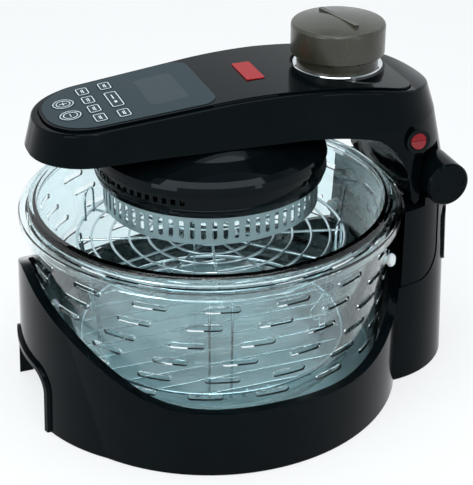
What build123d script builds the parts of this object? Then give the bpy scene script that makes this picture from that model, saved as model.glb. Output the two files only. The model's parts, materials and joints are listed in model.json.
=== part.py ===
from build123d import *
import os
from math import atan, cos, degrees, radians, sin, sqrt, tan

# Halogen oven, in millimetres.
# It is drawn about the axis of the glass bowl, standing on the floor. +Z is up,
# the control panel points along -Y, and the hinge column stands at +Y. The
# files are moved along Y, so that their origin lies on the floor under the
# middle of the overall footprint.

# ---------------------------------------------------------------- base sizes
base_radius = 172.0          # outer wall of the base
front_reach = base_radius + 8.0      # how far the front of the base stands out
front_radius = base_radius - 22.0    # curve of the front of the base
front_lean = 8.0             # the front leans back this much at wall_height
wall_height = 200.0          # blank height that the rim line is cut from
rim_width = 9.0              # across the rolled rim, outer to inner skin
skin = 2.5                   # moulded skin of the base
rim_low = 62.0               # rim height at the sides
rim_peak = 141.0             # rim height at the middle of the front
peak_span = 52.0             # degrees from the peak to the low rim
peak_round = 0.10            # rounding of the peak, as a share of the span
rear_start = 127.0           # degrees from the front where the rim climbs
rear_climb = 1.35            # climb of the rim behind that, mm per degree
floor_gap = 1.0              # the moulding stays this far off the floor

column_centre_y = base_radius - 24.0
column_radius = 82.5         # hinge column at the floor
column_top_radius = 76.0
column_height = 172.0
column_wall = 3.0
tongue_bottom = 98.0         # sunk panel on each side of the column
tongue_depth = 0.8
tongue_corner = 24.0

hand_half_width = 50.0       # hand opening in the front of the base
hand_height = 57.0
hand_corner = 18.0
lip_width = 4.5
lip_proud = 3.0

foot_height = 3.0
foot_radius = 9.0
foot_circle = base_radius - 38.0
deck_skirt_radius = base_radius - 26.0
locating_height = 3.0        # ring on the deck that centres the shroud
bottom_plate_thickness = 2.5
vent_row_half = 40.0         # cooling slots in the bottom plate
vent_row_pitch = 20.0
deck_top = 24.0              # deck that the shroud stands on
deck_thickness = 3.0
rear_cover_span = (96.0, 150.0)      # heights of the cover on the back of the column
rear_cover_half = 46.0
rear_cover_corner = 10.0
rear_cover_proud = 2.4
gland_z = 26.0               # inlet of the mains lead, low on the column
gland_proud = 5.0
boss_radius = 7.0
boss_circle = base_radius - 15.0
screw_radius = 2.0
fit_gap = 0.3                # between pieces that seat in one another

# ---------------------------------------------------- bowl, shroud and racks
flange_radius = base_radius - 1.3
bowl_rim_radius = flange_radius - 8.2
bowl_rim_height = 8.0
bowl_rim_width = 9.0
bowl_wall = 4.5
bowl_floor_radius = bowl_rim_radius - 54.5    # flat part of the floor
bowl_corner = 26.0
bowl_gap = 4.0               # between the bowl and the deck

flange_top = column_height + 7.0
flange_thickness = 3.5
flange_skirt = 8.0
shroud_wall = 2.5
shroud_radius = flange_radius - 5.7      # at the flange
shroud_taper = 0.08          # radius lost per millimetre down
slot_length = 30.0
slot_width = 5.5
slot_rows = 6
slots_per_row = 17
slot_top_row = flange_top - 21.5
slot_row_pitch = 17.7
slot_first_angle = 32.0      # degrees from the front
slot_stagger = 0.25          # of a slot pitch, from row to row
bumper_radius = 7.0
bumper_neck = 4.0
bumper_places = [(12.0, 115.0), (144.0, 140.0), (201.0, 119.0)]    # angle, height

wire = 3.0                   # rim wire of the racks
thin_wire = 2.2
weld_gap = 0.05              # wires lie this close where they are welded
high_rack_z = flange_top - 36.0
high_rack_radius = bowl_rim_radius - 41.5     # outer ring
high_rack_step = 13.0        # from the outer ring to the next one in
high_rack_pitch = 17.0       # between the inner rings
high_rack_rings = 6
high_rack_spokes = 12
low_rack_z = 52.0
low_rack_radius = bowl_rim_radius - 40.5
low_rack_bar_pitch = 22.0
leg_width = 19.0
leg_foot_circle = bowl_floor_radius - 4.0
leg_bend = 6.0
handle_height = 28.0
handle_width = 20.0

# -------------------------------------------------------------- hinge sizes
hinge_y = base_radius + 24.0
hinge_z = column_height + 22.0
hub_radius = 36.0            # rear of the head, around the hinge axis
hub_half_width = 41.0
hub_rear = 23.5              # the head's back stands this far behind the hinge axis
hub_floor = flange_top + 2.0     # the head is slimmer below this, to pass the flange
hub_sweep_rear = 16.0        # and so far behind the hinge axis
swing_gap = 0.8              # between the head and what it swings past
pin_radius = 5.0
pin_clearance = 0.05
barrel_radius = 20.0
barrel_gap = 0.4             # between the hub and each barrel
barrel_end = 74.0
cap_thickness = 4.0
recess_gap = 0.4             # between each barrel and the head in front of it
recess_height = 27.5         # space over the hinge axis, around each barrel
recess_corner = 8.0
tower_top = column_height + 8.0      # column towers that carry the barrels
tower_front = hinge_y - 17.0
tower_rear = hinge_y + 17.0

# --------------------------------------------------------------- head sizes
head_wall = 3.0
head_bottom = hinge_z + 58.0
head_half_width = 67.0
widest_y = 80.0              # the head has its full width from here to its round rear
nose_half_width = 54.0
nose_y = -162.0
nose_corner = 52.0
nose_dip = 2.5               # the underside at the nose lies this much lower
draft_height = 60.0          # height that the next three are measured over
side_draft = 6.0
nose_draft = 16.0
rear_draft = 19.0
rear_reach = hinge_y + 12.5  # round rear of the head at its underside
rear_lean = 0.23             # rear gained per millimetre below that
panel_front = (-148.0, head_bottom + 26.5)    # y, z of the top line at the nose
panel_rear = (-6.0, head_bottom + 40.2)
crown = (43.0, head_bottom + 42.5)
cover_rear = (hinge_y - 24.0, head_bottom + 28.0)
shoulder_drop = 2.0          # the housing's shoulder lies below the cover
shoulder_round = 2.5
cover_thickness = 4.5
cover_front_half = 46.0
cover_rear_half = 57.0
cover_corner = 24.0
cover_nose_corner = 43.0
cover_gap = 1.2
ledge = 4.0

panel_margin = 2.5
panel_thickness = 1.6
panel_sunk = 1.0
panel_corner = 14.0
key_thickness = 1.4
key_proud = 0.4
key_gap = 0.35
round_key = 20.0
small_key = (16.0, 11.5)
wide_key = (33.0, 12.0)
round_key_y = -126.0
first_row_y = -105.0
second_row_y = -85.0
window_size = (58.0, 34.0)
window_y = -44.0
badge_size = (40.0, 16.5)
badge_y = 35.0
badge_thickness = 0.8
clip_length = 56.0
clip_y = 13.0
clip_sunk = 0.8

switch_y = hinge_y - 27.0
switch_z = head_bottom - 16.0
switch_radius = 7.6
switch_gap = 1.0
bezel_radius = 11.0
switch_pivot_depth = 3.0
switch_proud = 2.4
switch_throw = 12.0          # degrees from off to on

cap_y = 119.0
ring_z = head_bottom + 38.0
ring_radius = 40.0
ring_thickness = 2.5
cup_radius = 31.0
cup_depth = 26.0
cup_wall = 2.0
plug_clearance = 0.3
neck_radius = 36.0
knob_radius = 41.5
knob_bottom = ring_z + 12.0
knob_height = 28.0
knob_dome = 4.0

# --------------------------------------------------- heater below the head
dome_radius = 103.0
dome_shell = 2.5
dome_bottom = head_bottom - 24.0
dome_neck = 60.0
vent_bottom = dome_bottom - 19.0
vent_radius = 102.0
vent_hole = (4.2, 5.0)
vent_pitch = 4.46            # degrees between vent holes
vent_half_sector = 62.0
cage_radius = 95.5
cage_sheet = 0.8
cage_bottom = vent_bottom - 27.0
cage_slots = 64
cage_slot = (4.2, 16.5)
reflector_z = vent_bottom - 2.5
lamp_ring = 66.0
lamp_tube = 4.5
lamp_z = vent_bottom - 16.5
lamp_turn = 330.0            # degrees of the lamp's ring, leaving room for its two ends
shaft_radius = 4.0
motor_radius = 25.0
motor_height = 26.0
hot_fan_radius = 46.0
hot_fan_z = vent_bottom - 15.0
cool_fan_radius = 56.0
cool_fan_z = dome_bottom + 4.0
fan_height = 9.0
board_size = (76.0, 84.0)
board_y = -84.0
board_z = head_bottom + 15.0

SEE_THROUGH = 400.0          # long enough to cut through everything


# ------------------------------------------------------------------ helpers
def ring(outer, inner, low, high):
    """Upright tube between two heights."""
    tube = Cylinder(outer, high - low, align=(Align.CENTER, Align.CENTER, Align.MIN))
    hole = Cylinder(inner, high - low, align=(Align.CENTER, Align.CENTER, Align.MIN))
    return Pos(0, 0, low) * (tube - hole)


def disc(radius, low, high):
    """Upright cylinder between two heights."""
    return Pos(0, 0, low) * Cylinder(radius, high - low, align=(Align.CENTER, Align.CENTER, Align.MIN))


def block(x0, x1, y0, y1, z0, z1):
    """Box from its lowest corner to its highest corner."""
    return Pos((x0 + x1) / 2, (y0 + y1) / 2, (z0 + z1) / 2) * Box(x1 - x0, y1 - y0, z1 - z0)


def turned(*points):
    """Solid of revolution about the bowl axis from (radius, height) points."""
    face = make_face(Plane.XZ * Polyline(*points, close=True))
    return revolve(face, Axis.Z)


def polar(radius, angle, z=0.0):
    """Point at an angle from the front (-Y), turning towards +X."""
    return Vector(radius * sin(radians(angle)), -radius * cos(radians(angle)), z)


def across_x(radius, x0, x1, y=hinge_y, z=hinge_z):
    """Cylinder lying along X."""
    rod = Cylinder(radius, x1 - x0, align=(Align.CENTER, Align.CENTER, Align.MIN))
    return Pos(x0, y, z) * Rot(0, 90, 0) * rod


def side_slab(face, half_width):
    """Side profile, drawn in Y and Z, made solid to both sides of the middle."""
    return extrude(Plane.YZ * face, half_width, both=True)


def mirrored(shape):
    """The shape and its mirror image across the middle plane."""
    return shape + mirror(shape, Plane.YZ)


def radial(shape, radius, angle, z=0.0):
    """Places a shape drawn with +X outwards at a radius and angle."""
    return Pos(0, 0, z) * Rot(0, 0, angle - 90) * Pos(radius, 0, 0) * shape


# --------------------------------------------------------------------- base
def tub(inset):
    """Solid inside the base's outer skin: a round tub with a fuller, leaning front."""
    side = disc(base_radius - inset, 0, wall_height)
    front = Cone(front_radius - inset, front_radius - front_lean - inset, wall_height,
                 align=(Align.CENTER, Align.CENTER, Align.MIN))
    return side + Pos(0, front_radius - front_reach) * front


def rim_height(angle):
    """Height of the rim at an angle from the front."""
    turn = abs(angle)
    share = sqrt((turn / peak_span) ** 2 + peak_round ** 2) - peak_round
    rise = 0.5 * (sqrt((1 - share) ** 2 + peak_round ** 2) + 1 - share)
    climb = 0.5 * (sqrt((turn - rear_start) ** 2 + 9) + turn - rear_start)
    return rim_low + (rim_peak - rim_low) * rise + rear_climb * climb


def above_rim(drop):
    """Everything over the rim line, lowered by a drop."""
    turns = [0, 4, 10, 18, 28, 40, 52, 64, 80, 100, 120, 135, 150, 165, 180]
    angles = turns + [-turn for turn in reversed(turns[1:-1])]
    edges = []
    for radius in (base_radius - 60, base_radius + 60):
        points = [polar(radius, angle, rim_height(angle) - drop) for angle in angles]
        edges.append(Spline(*points, periodic=True).edge())
    surface = Face.make_surface_from_curves(*edges)
    return extrude(surface, wall_height, dir=(0, 0, 1))


def column_cone(inset):
    """The round hinge column, drafted, inset from its outer surface."""
    body = Cone(column_radius - inset, column_top_radius - inset, column_height,
                align=(Align.CENTER, Align.CENTER, Align.MIN))
    return Pos(0, column_centre_y, 0) * body


def hand_arch(grow):
    """Outline of the hand opening, as a prism through the front wall."""
    half = hand_half_width + grow
    top = hand_height + grow
    face = make_face(Plane.XZ * Polyline((-half, -10), (half, -10), (half, top), (-half, top), close=True))
    corners = face.vertices().sort_by(Axis.Z)[-2:]
    face = fillet(corners, hand_corner + grow)
    prism = extrude(face, SEE_THROUGH / 2, dir=(0, -1, 0))
    return prism - disc(base_radius - 30, -20, wall_height)


def barrel_cradle():
    """Room for the hub and the barrels in the top of the column."""
    hub = across_x(hub_radius + 1.0, -hub_half_width - barrel_gap, hub_half_width + barrel_gap)
    behind = block(-hub_half_width - barrel_gap, hub_half_width + barrel_gap,
                   hinge_y, hinge_y + 80, 160, 240)
    return hub + behind + across_x(barrel_radius, -100, 100)


def tongue(side):
    """Sunk panel on the side of the column, rounded at its foot."""
    front, rear = column_centre_y + 2, column_centre_y + 52
    face = make_face(Polyline((front, wall_height), (front, tongue_bottom), (rear, tongue_bottom),
                              (rear, wall_height), close=True))
    face = fillet(face.vertices().sort_by(Axis.Y)[:2].sort_by(Axis.X)[-1], tongue_corner)
    slab = side_slab(face, 120)
    skin_ring = column_cone(-5) - column_cone(tongue_depth)
    return slab & skin_ring & block(min(0, side * 120), max(0, side * 120), 100, 240, 0, 240)


def base_shell():
    """Outer moulding: double-skinned tub wall, front lip and hinge column."""
    over = above_rim(0)
    bowl_space = disc(flange_radius + 3, 0, wall_height)
    outside = tub(0) + column_cone(0)
    low = outside - over
    towers = mirrored(block(hub_half_width + barrel_gap, barrel_end, tower_front, tower_rear,
                            column_height - 20, tower_top))
    tower_limit = Pos(0, column_centre_y) * disc(column_top_radius - 0.5, 0, wall_height)
    high = (column_cone(0) + (towers & tower_limit)) - bowl_space
    shell = low + high - tub(rim_width)
    band = hand_arch(lip_width) - hand_arch(0)
    lip = band & (tub(-lip_proud) - tub(rim_width))
    gap = (tub(skin) - tub(rim_width - skin)) - above_rim(skin + 0.5) - hand_arch(lip_width)
    hollow = column_cone(column_wall) - disc(flange_radius + 6, -1, wall_height)
    hollow = hollow & block(-100, 100, 100, 240, -1, hinge_z - hub_radius - 5)
    shell = shell - gap - hollow + lip - hand_arch(0)
    shell = shell - barrel_cradle() - tongue(1) - tongue(-1)
    for angle in boss_angles():
        peg = Pos(*polar(boss_circle, angle)) * disc(boss_radius, floor_gap, deck_top - deck_thickness)
        bore = Pos(*polar(boss_circle, angle)) * disc(screw_radius, 0, 16)
        shell = shell + (peg & tub(rim_width - skin + 0.5)) - bore
    shell = shell - block(-300, 300, -300, 300, -20, floor_gap)
    return shell


def boss_angles():
    """Screw places around the base, clear of the hand opening."""
    return [45 + 54 * k for k in range(6)]


def screw(radius, low, high):
    """Upright screw with its head at the bottom."""
    return disc(radius, low, high) + disc(radius * 1.9, low - 1.6, low)


def bottom_plate():
    """Plate that closes the base from below."""
    low = foot_height
    plate = disc(base_radius - rim_width - fit_gap, low, low + bottom_plate_thickness)
    plate = plate - hand_arch(lip_width)
    for angle in boss_angles():
        hole = Pos(*polar(boss_circle, angle)) * disc(boss_radius + fit_gap, 0, 30)
        plate = plate - hole
    for row in range(-2, 3):
        middle = row * vent_row_pitch
        plate = plate - block(-vent_row_half, vent_row_half, middle - 2, middle + 2, 0, deck_top)
    return plate


def base_deck():
    """Deck that closes the base from above and carries the shroud."""
    radius = base_radius - rim_width - fit_gap
    deck = disc(radius, deck_top - deck_thickness, deck_top)
    skirt = ring(deck_skirt_radius, deck_skirt_radius - deck_thickness, foot_height + bottom_plate_thickness,
                 deck_top - deck_thickness)
    locating = ring(shroud_inner(deck_top) - fit_gap, shroud_inner(deck_top) - fit_gap - 3,
                    deck_top, deck_top + locating_height)
    return deck + skirt + locating


def rubber_feet():
    """Four feet, one solid each."""
    pad = disc(foot_radius, 0, foot_height)
    return [Pos(*polar(foot_circle, 45 + 90 * k)) * pad for k in range(4)]


def base_screws():
    """Screws from below into the bosses."""
    return [Pos(*polar(boss_circle, a)) * (disc(screw_radius, floor_gap, 15) + disc(4, floor_gap - 0.9, floor_gap))
            for a in boss_angles()]


def rear_y(z, inset=0.0):
    """Rear of the column at a height."""
    radius = column_radius - (column_radius - column_top_radius) * z / column_height
    return column_centre_y + radius - inset


def rear_cover():
    """Raised cover on the back of the column."""
    low, high = rear_cover_span
    zone = block(-rear_cover_half, rear_cover_half, column_centre_y, SEE_THROUGH, low, high)
    rounded = fillet(zone.edges().filter_by(Axis.Y), rear_cover_corner)
    return (column_cone(-rear_cover_proud) - column_cone(-weld_gap)) & rounded


def cord_gland():
    """Round gland in the foot of the column where the mains lead would leave."""
    tube = ring(7, 4, -6, gland_proud) + ring(10, 4, 1.2, gland_proud - 1)
    return Pos(0, rear_y(gland_z), gland_z) * Rot(-90, 0, 0) * tube


def gland_hole():
    """Bore for the gland."""
    return Pos(0, rear_y(gland_z), gland_z) * Rot(-90, 0, 0) * disc(7, -12, 8)


def middle_y():
    """Middle of the overall depth, from the bowl axis."""
    front = front_reach - front_lean * hand_height / wall_height + lip_proud
    return (rear_y(gland_z) + gland_proud - front) / 2


# ------------------------------------------------------------ shroud, bowl
def shroud_outer(z):
    """Outer radius of the shroud at a height."""
    return shroud_radius - shroud_taper * (flange_top - z)


def shroud_inner(z):
    """Inner radius of the shroud at a height."""
    return shroud_outer(z) - shroud_wall


def shroud():
    """Clear outer wall with staggered vent slots and a flange for the bowl."""
    under = flange_top - flange_thickness
    wall = turned((shroud_inner(deck_top), deck_top), (shroud_outer(deck_top), deck_top),
                  (shroud_outer(under), under), (flange_radius - shroud_wall, under),
                  (flange_radius - shroud_wall, flange_top - flange_skirt),
                  (flange_radius, flange_top - flange_skirt), (flange_radius, flange_top - 1),
                  (flange_radius - 1, flange_top), (bowl_outer_radius() + 1, flange_top),
                  (bowl_outer_radius() + 1, under), (shroud_inner(under), under))
    slot = extrude(Plane.YZ * SlotOverall(slot_length, slot_width), 12, both=True)
    slots = []
    pitch = 360 / slots_per_row
    for row in range(slot_rows):
        z = slot_top_row - slot_row_pitch * row
        for k in range(slots_per_row):
            angle = slot_first_angle + pitch * (k - slot_stagger * row)
            slots.append(radial(slot, shroud_outer(z), angle, z))
    wall = wall - slots
    for angle, z in bumper_places:
        wall = wall - bumper_at(Rot(0, 90, 0) * disc(bumper_neck + 0.05, -20, 20), angle, z)
    return wall


def bumper_at(shape, angle, z):
    """Places a piece square to the shroud wall, +X outwards."""
    tilted = Rot(0, degrees(atan(shroud_taper)), 0) * shape
    return radial(tilted, shroud_outer(z) - shroud_wall / 2, angle, z)


def shroud_bumpers():
    """Spool-shaped rubber grommets that centre the bowl in the shroud."""
    reach = shroud_wall / 2 + fit_gap
    spool = disc(bumper_neck, -reach, reach)
    spool = spool + disc(bumper_radius, -reach - 3.2, -reach) + disc(bumper_radius, reach, reach + 2.0)
    return [bumper_at(Rot(0, 90, 0) * spool, a, z) for a, z in bumper_places]


def bowl_outer_radius():
    """Outside of the bowl just under its rim."""
    return bowl_rim_radius - bowl_rim_width + bowl_wall


def bowl_profile(inset):
    """Outside line of the bowl, from under its rim to the middle of its floor."""
    top = flange_top
    low = deck_top + bowl_gap + inset
    side = bowl_outer_radius() - inset
    start = bowl_floor_radius + bowl_corner - inset
    return side, start, low, top


def bowl_solid(inset, height):
    """Inside of the bowl's outer line, up to a height."""
    side, start, low, top = bowl_profile(inset)
    knee = low + bowl_corner - inset
    side_top = side + (side - start) * (height - top) / (top - knee)
    lines = [Line((0, low), (bowl_floor_radius, low)),
             ThreePointArc((bowl_floor_radius, low),
                           (start - (start - bowl_floor_radius) * 0.293, low + (knee - low) * 0.293),
                           (start, knee)),
             Line((start, knee), (side_top, height)), Line((side_top, height), (0, height)),
             Line((0, height), (0, low))]
    return revolve(make_face(Plane.XZ * Curve(lines)), Axis.Z)


def glass_bowl():
    """Glass bowl with a thick rolled rim that hangs on the shroud's flange."""
    rim_top = flange_top + bowl_rim_height
    body = bowl_solid(0, flange_top)
    rim = disc(bowl_rim_radius, flange_top, rim_top)
    rim = fillet(rim.edges(), 3.4)
    return body + rim - bowl_solid(bowl_wall, rim_top + 5)


# -------------------------------------------------------------------- racks
def wire_ring(radius, z, thickness):
    """Round wire ring lying flat."""
    return Pos(0, 0, z) * Torus(radius, thickness / 2)


def rod(start, end, thickness):
    """Straight wire between two points."""
    start, end = Vector(*start), Vector(*end)
    line = end - start
    plane = Plane(origin=start, z_dir=line)
    return plane * Cylinder(thickness / 2, line.length, align=(Align.CENTER, Align.CENTER, Align.MIN))


def wire_u(width, height, bend, thickness):
    """U of wire in the XZ plane, open at the top, its feet at z=0."""
    half = width / 2
    path = FilletPolyline((-half, 0, height), (-half, 0, 0), (half, 0, 0), (half, 0, height), radius=bend)
    section = Plane(origin=(-half, 0, height), z_dir=(0, 0, -1)) * Circle(thickness / 2)
    return sweep(section, path)


def high_rack_grid():
    """Rings welded on top of radial spokes, each wire its own solid."""
    radii = [high_rack_radius - high_rack_step - k * high_rack_pitch for k in range(high_rack_rings)]
    rings = [wire_ring(radius, high_rack_z, thin_wire) for radius in radii]
    rings.append(wire_ring(high_rack_radius, high_rack_z + (wire - thin_wire) / 2, wire))
    under = high_rack_z - thin_wire - weld_gap
    spokes = []
    for k in range(high_rack_spokes):
        turn = 360 * k / high_rack_spokes + 15
        spokes.append(rod(polar(radii[-1] - 2, turn, under), polar(high_rack_radius, turn, under), thin_wire))
    return rings + spokes


def weld_circle(radius, half_width):
    """Where a U of wire stands when both its sides touch the inside of a rack's rim."""
    inside = radius - wire / 2 - thin_wire / 2 - weld_gap
    return sqrt(inside ** 2 - half_width ** 2)


def bowl_floor():
    """Top of the bowl's floor."""
    return deck_top + bowl_gap + bowl_wall


def rack_leg(radius, z, angle):
    """U-shaped leg that leans from the bowl's floor out to a rack's rim."""
    foot = bowl_floor() + thin_wire / 2 + fit_gap
    out = weld_circle(radius, leg_width / 2) - leg_foot_circle
    rise = z - foot
    leg = wire_u(leg_width, sqrt(out ** 2 + rise ** 2) + 0.5, leg_bend, thin_wire)
    lean = degrees(atan(out / rise))
    return Rot(0, 0, angle) * Pos(0, -leg_foot_circle, foot) * Rot(lean, 0, 0) * leg


def rack_handle(angle):
    """Upright loop on the rim of the high rack."""
    loop = Rot(0, 180, 0) * wire_u(handle_width, handle_height, 8, thin_wire)
    height = high_rack_z + handle_height - 0.5
    return Rot(0, 0, angle) * Pos(0, -weld_circle(high_rack_radius, handle_width / 2), height) * loop


def high_rack_legs():
    """Four long U legs and two upright handle loops."""
    legs = [rack_leg(high_rack_radius, high_rack_z, 75 + 90 * k) for k in range(4)]
    return legs + [rack_handle(turn) for turn in (-37, 143)]


def low_rack_grid():
    """Rim ring with straight parallel bars welded under it, each wire its own solid."""
    under = low_rack_z - (wire + thin_wire) / 2 - weld_gap
    count = int(low_rack_radius / low_rack_bar_pitch)
    wires = [wire_ring(low_rack_radius, low_rack_z, wire)]
    for k in range(-count, count + 1):
        offset = k * low_rack_bar_pitch
        half = sqrt(low_rack_radius ** 2 - offset ** 2)
        wires.append(rod((offset, -half, under), (offset, half, under), thin_wire))
    return wires


def low_rack_legs():
    """Short U legs."""
    return [rack_leg(low_rack_radius, low_rack_z, 90 * k) for k in range(4)]


# -------------------------------------------------------------------- hinge
def hinge_pin():
    """Steel pin through the barrels and the hub."""
    return across_x(pin_radius, -barrel_end + 1, barrel_end - 1)


def hinge_barrel(side):
    """Barrel carried by a column tower."""
    start = hub_half_width + barrel_gap
    barrel = across_x(barrel_radius, start, barrel_end) - across_x(pin_radius + 0.1, 0, 100)
    return barrel if side > 0 else mirror(barrel, Plane.YZ)


def hinge_end_cap(side):
    """Chamfered cap on the end of a barrel, with two blind dimples."""
    cap = across_x(barrel_radius, barrel_end, barrel_end + cap_thickness)
    cap = chamfer(cap.faces().sort_by(Axis.X)[-1].edges(), 1.6)
    for step in (-1, 1):
        dimple = across_x(3, barrel_end + cap_thickness - 0.4, barrel_end + 10,
                          hinge_y + step * 12, hinge_z + step * 1)
        cap = cap - dimple
    return cap if side > 0 else mirror(cap, Plane.YZ)


# --------------------------------------------------------------------- head
def top_line(drop):
    """Top line of the head from nose to rear, lowered by a drop, in Y and Z."""
    rear = (cover_rear[0], cover_rear[1] - drop)
    apex = (crown[0], crown[1] - drop)
    front = (panel_rear[0], panel_rear[1] - drop)
    return (panel_front[0], panel_front[1] - drop), front, apex, rear


def panel_slope():
    """Angle of the flat panel stretch of the top line."""
    return degrees(atan((panel_rear[1] - panel_front[1]) / (panel_rear[0] - panel_front[0])))


def panel_height(y):
    """Height of the top line over the panel stretch."""
    return panel_front[1] + (y - panel_front[0]) * tan(radians(panel_slope()))


def head_side():
    """Side outline of the head, drawn in Y and Z. The plan outlines shape its nose and rear."""
    nose, front, apex, rear = top_line(shoulder_drop)
    before = nose_y - 12
    tip = (hinge_y - 28, hinge_z - sqrt(hub_radius ** 2 - 28 ** 2))
    back = (hinge_y + hub_rear, hinge_z - sqrt(hub_radius ** 2 - hub_rear ** 2))
    leg = (hinge_y - 32.3, hinge_z + 0.7)
    elbow = (hinge_y - 64, head_bottom - 10.5)
    start = (widest_y - 20, head_bottom)
    lines = [
        Polyline((before, head_bottom - nose_dip), (-dome_neck - 6, head_bottom), start),
        ThreePointArc(start, (hinge_y - 96, head_bottom - 3.4), elbow),
        ThreePointArc(elbow, (hinge_y - 44, head_bottom - 29), leg),
        Line(leg, tip),
        ThreePointArc(tip, (hinge_y, hinge_z - hub_radius), back),
        Polyline(back, (hinge_y + hub_rear, head_bottom - 6), (hinge_y + 19, head_bottom + 10),
                 (hinge_y + 9, head_bottom + 17)),
        ThreePointArc((hinge_y + 9, head_bottom + 17), (hinge_y - 6, head_bottom + 23), rear),
        ThreePointArc(rear, apex, front),
        Polyline(front, (before, panel_height(before) - shoulder_drop), (before, head_bottom - nose_dip)),
    ]
    return make_face(Curve(lines))


def head_plan(inset, height):
    """Plan outline of the head at a height above its underside."""
    rise = max(height, 0)
    draft = rise * tan(radians(side_draft)) + inset
    half, nose = head_half_width - draft, nose_half_width - draft
    front = nose_y + rise * tan(radians(nose_draft)) + inset
    reach = rear_reach - rise * tan(radians(rear_draft)) - min(height, 0) * rear_lean - inset
    sides = Polyline((-half, reach - half), (-half, widest_y), (-nose, front), (nose, front),
                     (half, widest_y), (half, reach - half))
    end = ThreePointArc((half, reach - half), (0, reach), (-half, reach - half))
    face = make_face(Curve([sides, end]))
    return fillet(face.vertices().sort_by(Axis.Y)[:2], nose_corner - draft)


def head_block(inset):
    """Head as one block: side outline within the plan outlines, which taper upwards."""
    low, middle, high = -draft_height - 50, -nose_dip, draft_height
    outlines = [Pos(0, 0, head_bottom + height) * head_plan(inset, height) for height in (low, middle, high)]
    body = loft(outlines[:2], ruled=True) + loft(outlines[1:], ruled=True)
    side = head_side()
    if inset:
        side = offset(side, -inset)
    return side_slab(side, 120) & body


def rounded_shoulder(body):
    """Rounds the edges where the head's top meets its sides."""
    tops = [face for face in body.faces() if face.normal_at().Z > 0.9]
    shared = [edge for face in tops for edge in face.edges()]
    outer = [edge for edge in shared if sum(edge.is_same(other) for other in shared) == 1]
    return fillet(outer, shoulder_round)


def flange_sweep():
    """Space below the head's hub that the shroud's flange needs as the head swings."""
    drop = hinge_z - flange_top
    hub = sqrt((hinge_y - flange_radius) ** 2 + drop ** 2) - swing_gap
    side_y = sqrt(flange_radius ** 2 - hub_half_width ** 2)
    cheek = sqrt((hinge_y - side_y) ** 2 + drop ** 2) - swing_gap
    zone = block(-120, 120, 100, hinge_y + hub_sweep_rear, 100, hub_floor)
    zone = zone - across_x(hub, -hub_half_width - 2, hub_half_width + 2)
    return zone - mirrored(across_x(cheek, hub_half_width, 120))


def barrel_space(grow):
    """Space around a barrel at the +X side, grown for the wall beside it."""
    start = hub_half_width - grow
    front = hinge_y - barrel_radius - recess_gap - grow
    room = block(start, 120, front, SEE_THROUGH, hinge_z, hinge_z + recess_height + grow)
    corner = room.edges().filter_by(Axis.X).sort_by(Axis.Z)[-2:].sort_by(Axis.Y)[:1]
    room = fillet(corner, recess_corner + grow)
    tip_z = hinge_z - sqrt(hub_radius ** 2 - 28 ** 2)
    face = make_face(Polyline((hinge_y - 27.5 - grow, tip_z + grow), (front, hinge_z - 15.5 + grow),
                              (front, hinge_z + 1), (hinge_y + 60, hinge_z + 1),
                              (hinge_y + 60, hinge_z - 60), (hinge_y - 28 - grow, hinge_z - 60), close=True))
    return room + Pos(start, 0, 0) * extrude(Plane.YZ * face, 120)


def cover_plan(grow):
    """Plan outline of the top cover."""
    front, rear = cover_front_half + grow, cover_rear_half + grow
    face = make_face(Polyline((-front, panel_front[0] - grow), (front, panel_front[0] - grow),
                              (rear, 60), (rear, cover_rear[0] + grow), (-rear, cover_rear[0] + grow),
                              (-rear, 60), close=True))
    ends = face.vertices().sort_by(Axis.Y)
    face = fillet(ends[-2:], cover_corner + grow)
    face = fillet(face.vertices().sort_by(Axis.Y)[:2], cover_nose_corner + grow)
    return extrude(Pos(0, 0, 200) * face, 150)


def under_top(drop):
    """Everything below the top line lowered by a drop, as a slab."""
    nose, front, apex, rear = top_line(drop)
    lines = [Polyline((-220, 150), (260, 150), (260, rear[1] - 40)), Line((260, rear[1] - 40), rear),
             ThreePointArc(rear, apex, front), Line(front, nose),
             Line(nose, (-220, nose[1] - 72 * tan(radians(panel_slope())))),
             Line((-220, nose[1] - 72 * tan(radians(panel_slope()))), (-220, 150))]
    return side_slab(make_face(Curve(lines)), 120)


def head_housing():
    """Hollow lower shell of the head with its hub, ledges and bosses."""
    cavity = head_block(head_wall) & under_top(shoulder_drop + cover_thickness + 1.5)
    spaces = mirrored(barrel_space(head_wall))
    cavity = cavity - spaces
    shell = rounded_shoulder(head_block(0)) - cavity - mirrored(barrel_space(0)) - flange_sweep()
    pocket = cover_plan(cover_gap) - under_top(cover_thickness)
    opening = cover_plan(-ledge)
    shell = shell - pocket - (opening & block(-100, 100, -200, 186, 262, 320) - under_top(cover_thickness + 6))
    hub = across_x(pin_radius + 6, -hub_half_width, hub_half_width)
    shell = shell + hub - across_x(pin_radius + pin_clearance, -100, 100)
    shell = shell - disc(shaft_radius + 3, 240, 262)
    switch_hole = across_x(bezel_radius - 2 + 0.1, 50, 90, switch_y, switch_z)
    shell = shell - switch_hole
    for x, y in board_corners():
        shell = shell + Pos(x, y) * disc(4, head_bottom + 1, board_z)
    return shell


def board_corners():
    """Places of the circuit board's standoffs."""
    return [(sx * (board_size[0] / 2 - 6), board_y + sy * (board_size[1] / 2 - 6))
            for sx in (-1, 1) for sy in (-1, 1)]


def top_cover():
    """Raised top cover with the panel's pocket and the cap's seat."""
    cover = cover_plan(0) & (under_top(0) - under_top(cover_thickness))
    pad = Pos(0, cap_y) * disc(ring_radius + 2, ring_z - 12, ring_z)
    over = Pos(0, cap_y) * disc(ring_radius + 2, ring_z, ring_z + 30)
    cover = cover - over + (pad - under_top(cover_thickness))
    seat = Pos(0, cap_y) * disc(cup_radius + cup_wall + 2.5, ring_z - 2, ring_z + 5)
    hole = Pos(0, cap_y) * disc(cup_radius + cup_wall + 0.2, 200, 320)
    return cover - seat - hole - panel_solid(0.0, panel_sunk, 5) - badge_place(-0.4, 3)


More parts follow.
